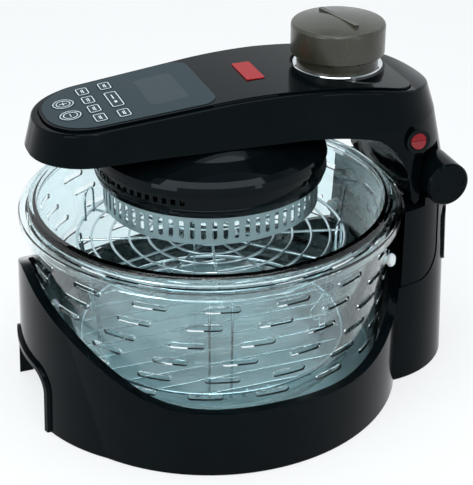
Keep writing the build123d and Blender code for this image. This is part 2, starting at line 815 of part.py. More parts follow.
def on_panel(x, y, lift=0.0):
    """Location on the sloping panel, with its normal along the local Z."""
    return Pos(x, y, panel_height(y)) * Rot(panel_slope(), 0, 0) * Pos(0, 0, lift)


def panel_solid(shrink, sunk, proud):
    """Panel shape between a depth below the cover's top and a height above it."""
    inner = cover_plan(-panel_margin - shrink)
    length = panel_rear[0] - panel_front[0]
    middle = (panel_rear[0] + panel_front[0]) / 2
    slab = on_panel(0, middle) * Pos(0, 0, (proud - sunk) / 2) * Box(200, length, proud + sunk)
    corner_box = block(-60, 60, -200, panel_rear[0] - 2 - shrink, 200, 350)
    corner_box = fillet(corner_box.edges().filter_by(Axis.Z).sort_by(Axis.Y)[-2:], panel_corner)
    wide = cover_front_half + (cover_rear_half - cover_front_half) * 0.68
    trim = block(-wide + 3 + shrink, wide - 3 - shrink, -200, panel_rear[0] - 2 - shrink, 200, 350)
    trim = fillet(trim.edges().filter_by(Axis.Z).sort_by(Axis.Y)[-2:], panel_corner)
    return inner & slab & trim


def badge_place(low, high):
    """Plate-shaped space on the crown of the cover."""
    z = crown[1] - (badge_y - crown[0]) ** 2 / 1100
    return Pos(0, badge_y, z + (low + high) / 2) * Box(badge_size[0], badge_size[1], high - low)


def badge_plate():
    """Blank plate on the cover."""
    plate = badge_place(-0.4, badge_thickness)
    return fillet(plate.edges().filter_by(Axis.Z), 1.5)


def key_places():
    """Name, outline size, corner radius and place of every key."""
    places = []
    for k, x in enumerate((-12.8, 12.8)):
        places.append((f"key_dial_{k + 1}", (round_key, round_key), round_key / 2 - 0.01, x, round_key_y))
    for k, x in enumerate((-29.6, -9.9, 9.9, 29.6)):
        places.append((f"key_small_{k + 1}", small_key, 3.5, x, first_row_y))
    for k, x in enumerate((-31.0, 31.0)):
        places.append((f"key_small_{k + 5}", small_key, 3.5, x, second_row_y))
    places.append(("key_start", wide_key, 3.5, 0.0, second_row_y))
    return places


def key_solid(size, corner, x, y, grow, low, high):
    """Rounded pad on the panel between two heights above its surface."""
    outline = RectangleRounded(size[0] + 2 * grow, size[1] + 2 * grow, corner + grow)
    pad = extrude(outline, high - low)
    return on_panel(x, y, low) * pad


def control_panel():
    """Overlay plate with an opening for each key and the window."""
    proud = panel_thickness - panel_sunk
    plate = panel_solid(0.15, panel_sunk, proud)
    for name, size, corner, x, y in key_places():
        plate = plate - key_solid(size, corner, x, y, key_gap, -5, 5)
    return plate - window_solid(0.1, -5, 5)


def window_solid(grow, low, high):
    """Display window between two heights above the panel's line."""
    outline = RectangleRounded(window_size[0] + 2 * grow, window_size[1] + 2 * grow, 4)
    return on_panel(0, window_y, low) * extrude(outline, high - low)


def display_window():
    """Smoked window over the display."""
    return window_solid(0, -panel_sunk, panel_thickness - panel_sunk)


def key(size, corner, x, y):
    """One key, proud of the panel by its travel."""
    top = panel_thickness - panel_sunk + key_proud
    pad = key_solid(size, corner, x, y, 0, top - key_thickness, top)
    return chamfer(pad.faces().sort_by(Axis.Z)[-1].edges(), 0.3)


def cover_clips():
    """Long snap clips in the groove at both edges of the cover."""
    groove = cover_plan(cover_gap - 0.15) - cover_plan(0.15)
    band = groove & (under_top(clip_sunk) - under_top(cover_thickness - 0.1))
    length = block(0, 100, clip_y - clip_length / 2, clip_y + clip_length / 2, 200, 350)
    clip = band & length
    return [clip, mirror(clip, Plane.YZ)]


def switch_bezel():
    """Round bezel in the side of the head with bores for the rocker."""
    inner = switch_radius + switch_gap
    body = across_x(bezel_radius - 2, head_half_width - 8, head_half_width, switch_y, switch_z)
    flange = across_x(bezel_radius, head_half_width, head_half_width + 1.2, switch_y, switch_z)
    bezel = body + flange - across_x(inner - 0.6, 0, 100, switch_y, switch_z)
    pivots = Pos(head_half_width - switch_pivot_depth, switch_y, switch_z) * Rot(90, 0, 0) * \
        Cylinder(1.1, 2 * inner + 0.4)
    return bezel - pivots


def power_rocker():
    """Round rocker, two faces meeting at its pivot, with pivot pins."""
    pivot_x = head_half_width - switch_pivot_depth
    body = across_x(switch_radius - 0.4, pivot_x - 3, head_half_width + switch_proud, switch_y, switch_z)
    for step in (-1, 1):
        tilt = Pos(head_half_width + switch_proud + 4.6, switch_y, switch_z + step * 7) * \
            Rot(0, step * switch_throw / 2, 0) * Box(10, 30, 15)
        body = body - tilt
    pins = Pos(pivot_x, switch_y, switch_z) * Rot(90, 0, 0) * Cylinder(1.0, 2 * switch_radius + 2)
    pivot = Pos(pivot_x, switch_y, switch_z)
    return pivot * Rot(0, -switch_throw / 2, 0) * pivot.inverse() * (body + pins)


# ----------------------------------------------------------- steam cap
def chrome_ring():
    """Bright ring around the cap's seat."""
    band = ring(ring_radius, cup_radius + 0.2, ring_z, ring_z + ring_thickness)
    band = chamfer(band.edges().filter_by(GeomType.CIRCLE).sort_by(Axis.Z)[-2:], 0.8)
    return Pos(0, cap_y) * band


def reservoir_cup():
    """Cup that hangs in the cover under the ring."""
    outer = cup_radius + cup_wall
    low = ring_z - cup_depth
    cup = disc(outer, low, ring_z) + ring(outer + 2.3, outer - 1, ring_z - 2, ring_z)
    return Pos(0, cap_y) * (cup - disc(cup_radius, low + cup_wall, ring_z + 1))


def cap_plug():
    """Translucent plug and neck that lift out of the cup."""
    seat = ring_z + ring_thickness
    skirt = ring(cup_radius - plug_clearance, cup_radius - plug_clearance - 2, ring_z - 12, seat + 1)
    neck = ring(neck_radius, cup_radius - plug_clearance - 2, seat, knob_bottom)
    post = ring(8, 5, seat + 2, knob_bottom + 8) + disc(neck_radius - 1, seat, seat + 2)
    return Pos(0, cap_y) * (skirt + neck + post)


def cap_knob():
    """Smoked knob with a grip ridge, turning on the plug's post."""
    low = knob_bottom + plug_clearance
    top = knob_bottom + knob_height
    edge = knob_radius - 3
    lines = [
        Polyline((0, top - 2.5), (knob_radius - 3, top - 2.5), (knob_radius - 3, low), (knob_radius - 1.5, low),
                 (knob_radius, low + 1.5), (knob_radius, top - 3)),
        ThreePointArc((knob_radius, top - 3), (edge + 2.12, top - 0.88), (edge, top)),
        ThreePointArc((edge, top), (edge / 2, top + 0.75 * knob_dome), (0, top + knob_dome)),
        Line((0, top + knob_dome), (0, top - 2.5)),
    ]
    body = revolve(make_face(Plane.XZ * Curve(lines)), Axis.Z)
    ridge = Pos(0, 0, top + knob_dome - 1.2) * Rot(0, 0, 12) * Box(56, 4.5, 3.2)
    body = body + fillet(ridge.edges().filter_by(Axis.Z), 2)
    stem = disc(5 - 0.1, knob_bottom - 5, top - 2)
    return Pos(0, cap_y) * (body + stem)


# ------------------------------------------------------- heater assembly
def lid_dome():
    """Black upper dome under the arm."""
    inner = dome_neck - dome_shell
    outer = [(dome_neck, head_bottom), (dome_neck + 12, 246), (dome_radius - 8, 239),
             (dome_radius - 2, 236), (dome_radius - 1, 233), (dome_radius, dome_bottom)]
    inside = [(dome_radius - dome_shell, dome_bottom), (dome_radius - dome_shell - 1, 232),
              (dome_radius - dome_shell - 8, 236.4), (dome_neck + 11, 243.3), (inner, head_bottom - 4),
              (shaft_radius + 3, head_bottom - 4), (shaft_radius + 3, head_bottom)]
    return turned(*(outer + inside))


def vent_ring():
    """Black band with two sectors of square holes, stepped at its foot."""
    top = dome_bottom
    band = turned((vent_radius - 1.4, vent_bottom), (vent_radius, vent_bottom + 5),
                  (vent_radius + 0.6, vent_bottom + 5.5), (vent_radius + 0.6, vent_bottom + 7),
                  (vent_radius, vent_bottom + 7.5), (vent_radius, top), (cage_radius - 3, top),
                  (cage_radius - 3, top - 2), (vent_radius - dome_shell, top - 2),
                  (vent_radius - dome_shell, vent_bottom + 3), (cage_radius - 3, vent_bottom + 3),
                  (cage_radius - 3, vent_bottom))
    hole = Box(16, vent_hole[0], vent_hole[1])
    count = int(vent_half_sector / vent_pitch)
    holes = []
    for k in range(-count, count + 1):
        for start in (0, 180):
            holes.append(radial(hole, vent_radius, start + k * vent_pitch, vent_bottom + 13.5))
    return band - holes


def steel_cage():
    """Perforated sheet cage around the lamp."""
    wall = ring(cage_radius, cage_radius - cage_sheet, cage_bottom, vent_bottom)
    lip = ring(cage_radius - cage_sheet / 2, cage_radius - 7, cage_bottom, cage_bottom + cage_sheet)
    slot = extrude(Plane.YZ * (Rot(0, 0, 90) * SlotOverall(cage_slot[1], cage_slot[0])), 4, both=True)
    middle = (cage_bottom + vent_bottom) / 2 - 0.8
    slots = [radial(slot, cage_radius, 360 * k / cage_slots, middle) for k in range(cage_slots)]
    return wall + lip - slots


def guard_grille():
    """Flat guard of rings and spokes across the mouth of the cage."""
    low, high = cage_bottom + cage_sheet, cage_bottom + cage_sheet + 1.6
    grille = ring(cage_radius - cage_sheet - 0.1, cage_radius - 4, low, high)
    for radius in (18, 36, 54, 72):
        grille = grille + ring(radius, radius - 1.6, low, high)
    for k in range(4):
        grille = grille + Rot(0, 0, 45 * k + 10) * Pos(0, 0, (low + high) / 2) * \
            Box(2 * (cage_radius - 4), 1.6, high - low)
    return grille


def reflector():
    """Bright steel dish above the lamp."""
    edge = cage_radius - cage_sheet - fit_gap
    return turned((shaft_radius + 3, reflector_z + 1), (edge - 14, reflector_z + 1),
                  (edge, vent_bottom), (edge, vent_bottom - 0.8), (edge - 14, reflector_z),
                  (shaft_radius + 3, reflector_z))


def halogen_lamp():
    """Quartz ring with both ends turned up into their holders."""
    tube = revolve(Pos(lamp_ring, 0, lamp_z) * (Rot(90, 0, 0) * Circle(lamp_tube)), Axis.Z, lamp_turn)
    ends = []
    for turn in (0, lamp_turn):
        end = Rot(0, 0, turn) * Pos(lamp_ring, 0, 0)
        ends.append(end * disc(lamp_tube, lamp_z, lamp_z + 7) + end * Pos(0, 0, lamp_z) * Sphere(lamp_tube))
    return tube + ends[0] + ends[1]


def lamp_holders():
    """Ceramic holders under the reflector."""
    holders = []
    for turn in (0, lamp_turn):
        block_ = block(-8, 8, -7, 7, lamp_z + 7, reflector_z)
        holders.append(Rot(0, 0, turn) * Pos(lamp_ring, 0, 0) * block_)
    return holders


def fan(radius, z, blades, pitch):
    """Hub with tilted blades on a back plate."""
    hub = disc(12, z, z + fan_height + 1.5)
    plate = disc(radius * 0.62, z + fan_height, z + fan_height + 1.5)
    wheel = hub + plate
    for k in range(blades):
        blade = Pos(radius * 0.57, 0, z + fan_height / 2 + 0.3) * Rot(pitch, 0, 0) * \
            Box(radius * 0.86, 1.4, fan_height)
        wheel = wheel + Rot(0, 0, 360 * k / blades) * blade
    wheel = wheel & disc(radius, z - 2, z + fan_height + 1.5)
    return wheel - disc(shaft_radius, z - 5, z + 30)


def fan_shaft():
    """Shaft from the motor down to the hot-air fan."""
    return disc(shaft_radius, hot_fan_z - 1, motor_floor() + motor_height / 2)


def motor_floor():
    """Underside of the motor, on the housing's floor."""
    return head_bottom + head_wall


def fan_motor():
    """Motor standing on the floor of the head."""
    can = disc(motor_radius, motor_floor(), motor_floor() + motor_height)
    can = fillet(can.edges().sort_by(Axis.Z)[-1:], 3)
    ears = Pos(0, 0, motor_floor() + 1) * Box(2 * motor_radius + 18, 12, 2)
    return can + ears - disc(shaft_radius + 0.05, motor_floor() - 2, motor_floor() + motor_height / 2 + 0.5)


def circuit_board():
    """Control board on its standoffs."""
    board = block(-board_size[0] / 2, board_size[0] / 2, board_y - board_size[1] / 2,
                  board_y + board_size[1] / 2, board_z, board_z + 1.6)
    relay = block(-30, -12, board_y - 10, board_y + 16, board_z + 1.6, board_z + 8)
    transformer = block(4, 30, board_y - 8, board_y + 20, board_z + 1.6, board_z + 10)
    return board + relay + transformer


def thermostat():
    """Temperature sensor on the reflector."""
    return Pos(34, -34) * (disc(9, reflector_z + 1, reflector_z + 8) + disc(4, reflector_z + 8, reflector_z + 12))


# ------------------------------------------------------------------- export
def nodes():
    """Every node's name and shape."""
    made = {
        "base_shell": base_shell() - gland_hole(),
        "bottom_plate": bottom_plate(),
        "base_deck": base_deck(),
        "rubber_feet": rubber_feet(),
        "base_screws": base_screws(),
        "rear_cover": rear_cover(),
        "cord_gland": cord_gland(),
        "shroud": shroud(),
        "shroud_bumpers": shroud_bumpers(),
        "glass_bowl": glass_bowl(),
        "high_rack_grid": high_rack_grid(),
        "high_rack_legs": high_rack_legs(),
        "low_rack_grid": low_rack_grid(),
        "low_rack_legs": low_rack_legs(),
        "hinge_pin": hinge_pin(),
        "hinge_barrel_right": hinge_barrel(1),
        "hinge_barrel_left": hinge_barrel(-1),
        "hinge_cap_right": hinge_end_cap(1),
        "hinge_cap_left": hinge_end_cap(-1),
        "head_housing": head_housing(),
        "top_cover": top_cover(),
        "control_panel": control_panel(),
        "display_window": display_window(),
        "badge_plate": badge_plate(),
        "cover_clips": cover_clips(),
        "switch_bezel": switch_bezel(),
        "power_rocker": power_rocker(),
        "chrome_ring": chrome_ring(),
        "reservoir_cup": reservoir_cup(),
        "cap_plug": cap_plug(),
        "cap_knob": cap_knob(),
        "lid_dome": lid_dome(),
        "vent_ring": vent_ring(),
        "steel_cage": steel_cage(),
        "guard_grille": guard_grille(),
        "reflector": reflector(),
        "halogen_lamp": halogen_lamp(),
        "lamp_holders": lamp_holders(),
        "fan_shaft": fan_shaft(),
        "hot_fan": fan(hot_fan_radius, hot_fan_z, 8, 35),
        "cooling_fan": fan(cool_fan_radius, cool_fan_z, 10, 35),
        "fan_motor": fan_motor(),
        "circuit_board": circuit_board(),
        "thermostat": thermostat(),
    }
    for name, size, corner, x, y in key_places():
        made[name] = key(size, corner, x, y)
    return made


def main():
    """Writes one STEP file per node, centred over the overall footprint."""
    os.makedirs("parts", exist_ok=True)
    centre = Pos(0, -middle_y(), 0)
    for name, shape in nodes().items():
        pieces = shape if isinstance(shape, list) else [shape]
        solids = [centre * solid for piece in pieces for solid in piece.solids()]
        export_step(Compound(children=solids), f"parts/{name}.step")


if __name__ == "__main__":
    main()
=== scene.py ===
"""Looks of the halogen oven: materials, printed marks, light and camera.

Everything is in metres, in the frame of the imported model: +Z up, the control
panel towards -Y, the rocker switch towards +X.
"""
import json
import math

import bmesh
import bpy
from mathutils import Matrix, Vector

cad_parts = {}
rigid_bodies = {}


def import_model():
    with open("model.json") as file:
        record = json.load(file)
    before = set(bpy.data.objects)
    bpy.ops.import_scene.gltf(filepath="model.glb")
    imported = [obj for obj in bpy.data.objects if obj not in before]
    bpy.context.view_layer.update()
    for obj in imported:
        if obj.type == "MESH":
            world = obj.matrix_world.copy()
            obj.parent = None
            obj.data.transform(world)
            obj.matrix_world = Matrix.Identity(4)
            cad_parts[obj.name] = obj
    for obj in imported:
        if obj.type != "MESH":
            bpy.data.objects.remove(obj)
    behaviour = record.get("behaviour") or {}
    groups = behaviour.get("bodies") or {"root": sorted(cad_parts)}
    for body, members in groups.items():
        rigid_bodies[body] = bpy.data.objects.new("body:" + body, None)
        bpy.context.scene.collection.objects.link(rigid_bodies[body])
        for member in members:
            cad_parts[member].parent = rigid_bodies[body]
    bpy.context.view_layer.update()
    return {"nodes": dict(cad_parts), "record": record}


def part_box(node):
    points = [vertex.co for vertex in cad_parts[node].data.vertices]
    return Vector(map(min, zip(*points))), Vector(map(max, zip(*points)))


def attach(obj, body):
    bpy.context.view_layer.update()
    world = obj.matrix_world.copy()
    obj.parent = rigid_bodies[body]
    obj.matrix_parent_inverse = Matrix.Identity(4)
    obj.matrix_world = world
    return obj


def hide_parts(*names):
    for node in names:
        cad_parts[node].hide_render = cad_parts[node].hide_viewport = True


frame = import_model()
nodes = frame["nodes"]

# ---------------------------------------------------------------- places
BOWL_Y = (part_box("glass_bowl")[0].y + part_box("glass_bowl")[1].y) / 2

# The photograph's camera, around the bowl axis
VIEW_AZIMUTH = math.radians(70.05)
VIEW_ELEVATION = math.radians(28.12)
CAMERA_PLACE = Vector((1.09776, BOWL_Y - 0.37382, 0.75256))
FOCAL_PIXELS = 1445.7
PHOTO_HEIGHT = 485
SENSOR = 36.0                   # millimetres
AIM_HEIGHT = 0.16               # point that the lamps look at

# Part of a noise source that reaches from one end of a range to the other
NOISE_LOW, NOISE_HIGH = 0.3, 0.7


# ------------------------------------------------------------- node helpers
def new_material(name):
    """Empty node material with a Principled shader wired to its output."""
    material = bpy.data.materials.new(name)
    material.use_nodes = True
    tree = material.node_tree
    tree.nodes.clear()
    output = tree.nodes.new("ShaderNodeOutputMaterial")
    shader = tree.nodes.new("ShaderNodeBsdfPrincipled")
    tree.links.new(shader.outputs["BSDF"], output.inputs["Surface"])
    return material, tree, shader


def add(tree, kind, **values):
    """New node with settings and input values given by name."""
    node = tree.nodes.new(kind)
    for key, value in values.items():
        if key in node.inputs:
            node.inputs[key].default_value = value
        else:
            setattr(node, key, value)
    return node


def noise(tree, scale, detail=3.0, stretch=(1, 1, 1)):
    """Noise in the object's own metres, stretched along its axes."""
    place = add(tree, "ShaderNodeTexCoord")
    mapping = add(tree, "ShaderNodeMapping", Scale=stretch)
    tree.links.new(place.outputs["Object"], mapping.inputs["Vector"])
    texture = add(tree, "ShaderNodeTexNoise", Scale=scale, Detail=detail)
    tree.links.new(mapping.outputs["Vector"], texture.inputs["Vector"])
    return texture.outputs["Fac"]


def set_inputs(node, values):
    """Fixed values on a node's own sockets."""
    for key, value in values.items():
        node.inputs[key].default_value = value


def ranged(tree, source, low, high, from_low=NOISE_LOW, from_high=NOISE_HIGH):
    """Source mapped to a range of values."""
    node = add(tree, "ShaderNodeMapRange")
    set_inputs(node, {"From Min": from_low, "From Max": from_high, "To Min": low, "To Max": high})
    tree.links.new(source, node.inputs["Value"])
    return node.outputs["Result"]


def shades(tree, source, first, last, start=NOISE_LOW, end=NOISE_HIGH):
    """Colour from the first shade to the last, as a source goes from start to end."""
    ramp = add(tree, "ShaderNodeValToRGB")
    for stop, position, colour in zip(ramp.color_ramp.elements, (start, end), (first, last)):
        stop.position = position
        stop.color = (*colour, 1)
    tree.links.new(source, ramp.inputs["Fac"])
    return ramp.outputs["Color"]


def bumped(tree, shader, source, distance):
    """Bump from a height source, in metres."""
    bump = add(tree, "ShaderNodeBump", Strength=1.0, Distance=distance)
    tree.links.new(source, bump.inputs["Height"])
    tree.links.new(bump.outputs["Normal"], shader.inputs["Normal"])


def scaled(colour, factor):
    """Colour times a factor."""
    return tuple(channel * factor for channel in colour)


# ---------------------------------------------------------------- materials
GLOSS_TINT = (0.78, 0.93, 1.0, 1)    # cool reflections on the black plastic
DECK_LINES = 180.0


def moulded(name, colour, roughness, grain=900.0, depth=0.000004, spread=0.25, specular=0.07):
    """Moulded plastic: faint mottling, uneven gloss and a fine skin."""
    material, tree, shader = new_material(name)
    broad = noise(tree, 26.0, 4.0)
    fine = noise(tree, grain, 2.0)
    tree.links.new(shades(tree, broad, scaled(colour, 1 - spread), scaled(colour, 1 + spread)),
                   shader.inputs["Base Color"])
    tree.links.new(ranged(tree, broad, roughness * 0.8, roughness * 1.25), shader.inputs["Roughness"])
    bumped(tree, shader, fine, depth)
    set_inputs(shader, {"Specular IOR Level": specular, "Specular Tint": GLOSS_TINT})
    return material


def metal(name, colour, roughness, stretch=(1, 1, 1), scale=420.0, depth=0.000006):
    """Metal with a grain that can be drawn out along an axis."""
    material, tree, shader = new_material(name)
    grain = noise(tree, scale, 3.0, stretch)
    tree.links.new(shades(tree, grain, scaled(colour, 0.88), colour), shader.inputs["Base Color"])
    tree.links.new(ranged(tree, grain, roughness * 0.7, roughness * 1.3), shader.inputs["Roughness"])
    bumped(tree, shader, grain, depth)
    shader.inputs["Metallic"].default_value = 1.0
    return material


def clear(name, colour, roughness, ior, ripple, smear):
    """Clear moulded or pressed wall: tinted, gently rippled, a little smeared."""
    material, tree, shader = new_material(name)
    set_inputs(shader, {"Base Color": (*colour, 1), "Transmission Weight": 1.0, "IOR": ior})
    marks = noise(tree, 38.0, 6.0)
    tree.links.new(ranged(tree, marks, roughness, smear, 0.45, 0.8), shader.inputs["Roughness"])
    bumped(tree, shader, noise(tree, 30.0, 1.0), ripple)
    return material


def deck_metal():
    """Bright spun plate under the bowl, with fine radial lines."""
    material, tree, shader = new_material("deck_metal")
    place = add(tree, "ShaderNodeTexCoord")
    centred = add(tree, "ShaderNodeMapping", Location=(0, -BOWL_Y, 0))
    tree.links.new(place.outputs["Object"], centred.inputs["Vector"])
    split = add(tree, "ShaderNodeSeparateXYZ")
    tree.links.new(centred.outputs["Vector"], split.inputs["Vector"])
    turn = add(tree, "ShaderNodeMath", operation="ARCTAN2")
    tree.links.new(split.outputs["X"], turn.inputs[0])
    tree.links.new(split.outputs["Y"], turn.inputs[1])
    lines = add(tree, "ShaderNodeMath", operation="MULTIPLY")
    lines.inputs[1].default_value = DECK_LINES
    tree.links.new(turn.outputs["Value"], lines.inputs[0])
    wave = add(tree, "ShaderNodeMath", operation="SINE")
    tree.links.new(lines.outputs["Value"], wave.inputs[0])
    soft = noise(tree, 14.0, 3.0)
    tree.links.new(shades(tree, soft, (0.66, 0.88, 0.92), (0.82, 0.97, 1.0)), shader.inputs["Base Color"])
    tree.links.new(ranged(tree, soft, 0.35, 0.5), shader.inputs["Roughness"])
    bumped(tree, shader, wave.outputs["Value"], 0.00003)
    shader.inputs["Metallic"].default_value = 0.45
    return material


def smoked_plastic():
    """Brown smoked plastic of the cap, see-through at its thin edges."""
    material, tree, shader = new_material("smoked_plastic")
    cloud = noise(tree, 40.0, 2.0)
    tree.links.new(shades(tree, cloud, (0.038, 0.036, 0.022), (0.064, 0.060, 0.040)),
                   shader.inputs["Base Color"])
    set_inputs(shader, {"Transmission Weight": 0.35, "IOR": 1.49})
    tree.links.new(ranged(tree, cloud, 0.2, 0.3), shader.inputs["Roughness"])
    bumped(tree, shader, noise(tree, 700.0, 2.0), 0.000003)
    return material


def silicone():
    """Milky bumpers."""
    material, tree, shader = new_material("silicone")
    cloud = noise(tree, 200.0, 3.0)
    tree.links.new(shades(tree, cloud, (0.72, 0.76, 0.76), (0.85, 0.88, 0.88)), shader.inputs["Base Color"])
    set_inputs(shader, {"Subsurface Weight": 0.4, "Subsurface Scale": 0.003})
    tree.links.new(ranged(tree, cloud, 0.3, 0.45), shader.inputs["Roughness"])
    bumped(tree, shader, cloud, 0.00001)
    return material


def circuit():
    """Green board with paler tracks."""
    material, tree, shader = new_material("circuit")
    tracks = add(tree, "ShaderNodeTexBrick", Scale=90.0)
    place = add(tree, "ShaderNodeTexCoord")
    tree.links.new(place.outputs["Object"], tracks.inputs["Vector"])
    set_inputs(tracks, {"Color1": (0.02, 0.16, 0.06, 1), "Color2": (0.03, 0.20, 0.08, 1),
                        "Mortar": (0.10, 0.34, 0.15, 1)})
    tree.links.new(tracks.outputs["Color"], shader.inputs["Base Color"])
    tree.links.new(ranged(tree, noise(tree, 300.0), 0.3, 0.5), shader.inputs["Roughness"])
    return material


BLACK = (0.0012, 0.0026, 0.0034)
STEEL = (0.32, 0.405, 0.42)

finishes = {
    "black_gloss": moulded("black_gloss", BLACK, 0.11),
    "black_satin": moulded("black_satin", (0.008, 0.010, 0.011), 0.42, grain=1600.0, depth=0.00001),
    "heater_black": moulded("heater_black", (0.0015, 0.0026, 0.0032), 0.05, depth=0.000002, specular=0.13),
    "panel": moulded("panel", (0.022, 0.037, 0.044), 0.3, grain=2200.0, depth=0.000005, spread=0.08),
    "window": moulded("window", (0.020, 0.035, 0.042), 0.12, spread=0.06, specular=0.12),
    "badge": moulded("badge", (0.32, 0.006, 0.010), 0.25, spread=0.08, specular=0.12),
    "red": moulded("red", (0.24, 0.004, 0.007), 0.16, spread=0.12, specular=0.25),
    "rubber": moulded("rubber", (0.015, 0.015, 0.015), 0.7, grain=1200.0, depth=0.00002),
    "ceramic": moulded("ceramic", (0.70, 0.67, 0.60), 0.55, spread=0.06),
    "motor": moulded("motor", (0.16, 0.165, 0.175), 0.4, spread=0.1),
    "clear_wall": clear("clear_wall", (0.89, 0.985, 1.0), 0.0, 1.42, 0.00008, 0.05),
    "bowl_glass": clear("bowl_glass", (0.90, 0.985, 1.0), 0.0, 1.47, 0.00006, 0.03),
    "quartz": clear("quartz", (0.98, 0.97, 0.95), 0.02, 1.46, 0.00002, 0.1),
    "rack_wire": metal("rack_wire", (0.60, 0.71, 0.74), 0.14),
    "steel": metal("steel", STEEL, 0.42, stretch=(1, 1, 14), scale=260.0),
    "reflector": metal("reflector", (0.72, 0.74, 0.75), 0.2),
    "chrome": metal("chrome", (0.72, 0.74, 0.75), 0.07, depth=0.000002),
    "pin_steel": metal("pin_steel", (0.52, 0.53, 0.54), 0.3, stretch=(12, 1, 1)),
    "deck_metal": deck_metal(),
    "smoked": smoked_plastic(),
    "white_rubber": silicone(),
    "board": circuit(),
}
special = {"base_deck": "deck_metal"}


def dress():
    """Gives every CAD node the finish of its slot."""
    for entry in frame["record"]["subparts"]:
        name = entry["node"]
        finish = finishes[special.get(name, entry["material_slot"])]
        mesh = nodes[name].data
        mesh.materials.clear()
        mesh.materials.append(finish)


dress()


# ------------------------------------------------------------ printed marks
def ink():
    """Pale printing ink."""
    material, tree, shader = new_material("ink")
    worn = noise(tree, 900.0, 3.0)
    tree.links.new(shades(tree, worn, (0.56, 0.62, 0.64), (0.78, 0.84, 0.86)), shader.inputs["Base Color"])
    tree.links.new(ranged(tree, worn, 0.4, 0.6), shader.inputs["Roughness"])
    return material


INK = ink()
PRINT_LIFT = 0.00006     # thickness of the ink, and its height over the key
LINE = 0.0007            # width of a printed line
KEY_INSET = 0.0008       # outline in from the key's edge


def key_frame(node):
    """Top centre, half sizes and axes of a key, from its node's own faces."""
    mesh = nodes[node].data
    top = max(mesh.polygons, key=lambda p: p.area * (p.normal.z > 0.5))
    normal = top.normal.copy()
    across = Vector((1, 0, 0))
    along = normal.cross(across).normalized()
    points = [v.co for v in mesh.vertices]
    centre = sum(points, Vector()) / len(points)
    half_x = max(abs((p - centre).dot(across)) for p in points)
    half_y = max(abs((p - centre).dot(along)) for p in points)
    height = max((p - centre).dot(normal) for p in points)
    return centre + normal * (height + PRINT_LIFT), half_x, half_y, across, along, normal


def outline(half_x, half_y, corner, steps=6):
    """Points of a rounded rectangle about zero."""
    points = []
    for quarter, (sx, sy) in enumerate(((1, 1), (-1, 1), (-1, -1), (1, -1))):
        for k in range(steps + 1):
            turn = math.radians(90 * quarter + 90 * k / steps)
            points.append((sx * (half_x - corner) + corner * math.cos(turn),
                           sy * (half_y - corner) + corner * math.sin(turn)))
    return points


def flat_piece(name, loops, place, body):
    """Thin printed shape from strips and filled loops given in the key's plane."""
    centre, across, along, normal = place
    mesh = bmesh.new()
    for outer, inner in loops:
        ring = [mesh.verts.new(centre + across * x + along * y) for x, y in outer]
        if inner is None:
            mesh.faces.new(ring)
            continue
        hole = [mesh.verts.new(centre + across * x + along * y) for x, y in inner]
        for k in range(len(ring)):
            j = (k + 1) % len(ring)
            mesh.faces.new((ring[k], ring[j], hole[j], hole[k]))
    mesh.normal_update()
    data = bpy.data.meshes.new(name)
    mesh.to_mesh(data)
    mesh.free()
    obj = bpy.data.objects.new(name, data)
    bpy.context.scene.collection.objects.link(obj)
    thick = obj.modifiers.new("thickness", "SOLIDIFY")
    thick.thickness = PRINT_LIFT
    data.materials.append(INK)
    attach(obj, body)


def bar(cx, cy, half_x, half_y):
    """Filled bar as a loop."""
    return [(cx - half_x, cy - half_y), (cx + half_x, cy - half_y), (cx + half_x, cy + half_y),
            (cx - half_x, cy + half_y)], None


def key_marks():
    """Pale outline on each key, with plus, minus or plain bars in it."""
    keys = sorted(name for name in nodes if name.startswith("key_"))
    for name in keys:
        centre, half_x, half_y, across, along, normal = key_frame(name)
        corner = min(half_x, half_y) * (0.98 if "dial" in name else 0.35)
        wide, deep = half_x - KEY_INSET, half_y - KEY_INSET
        loops = [(outline(wide, deep, corner), outline(wide - LINE, deep - LINE, max(corner - LINE, 0.0002)))]
        if "dial" in name:
            wide, deep, corner = half_x * 0.62, half_y * 0.62, half_x * 0.6
            loops.append((outline(wide, deep, corner), outline(wide - LINE, deep - LINE, corner - LINE)))
            loops.append(bar(0, 0, half_x * 0.3, LINE / 2))
            if name.endswith("1"):
                loops += [bar(0, half_x * end, LINE / 2, half_x * 0.16) for end in (0.2, -0.2)]
        elif name == "key_start":
            loops.append(bar(-half_x * 0.3, 0, half_x * 0.28, LINE * 0.7))
            loops.append(bar(half_x * 0.35, 0, half_x * 0.12, LINE * 1.6))
        else:
            loops.append(bar(0, LINE, half_x * 0.5, LINE * 0.55))
            loops.append(bar(0, -LINE, half_x * 0.36, LINE * 0.55))
        body = frame["nodes"][name].parent.name.split(":", 1)[1]
        flat_piece(name + "_print", loops, (centre, across, along, normal), body)


key_marks()


# ---------------------------------------------------------------- bumpers
# Half outline of a bumper as radius and place along its axis: outer knob, neck, inner pad
KNOB_PROFILE = ((0.0, 0.0088), (0.0030, 0.0086), (0.0050, 0.0074), (0.0060, 0.0056), (0.0058, 0.0036),
                (0.0046, 0.0022), (0.0038, 0.0015), (0.0038, -0.0015), (0.0062, -0.0019),
                (0.0066, -0.0032), (0.0058, -0.0046), (0.0, -0.0047))
KNOB_SHIFT = 0.0006      # outwards from the middle of the CAD spool
KNOB_STEPS = 28
SPOOL_REACH = 0.012      # pieces nearer than this belong to one bumper
UP = Vector((0, 0, 1))


def loose_parts(mesh):
    """Points of each connected part of a mesh."""
    work = bmesh.new()
    work.from_mesh(mesh)
    parts, left = [], dict.fromkeys(work.verts)
    while left:
        stack, part = [left.popitem()[0]], []
        while stack:
            vert = stack.pop()
            part.append(vert.co.copy())
            for edge in vert.link_edges:
                other = edge.other_vert(vert)
                if other in left:
                    del left[other]
                    stack.append(other)
        parts.append(part)
    work.free()
    return parts


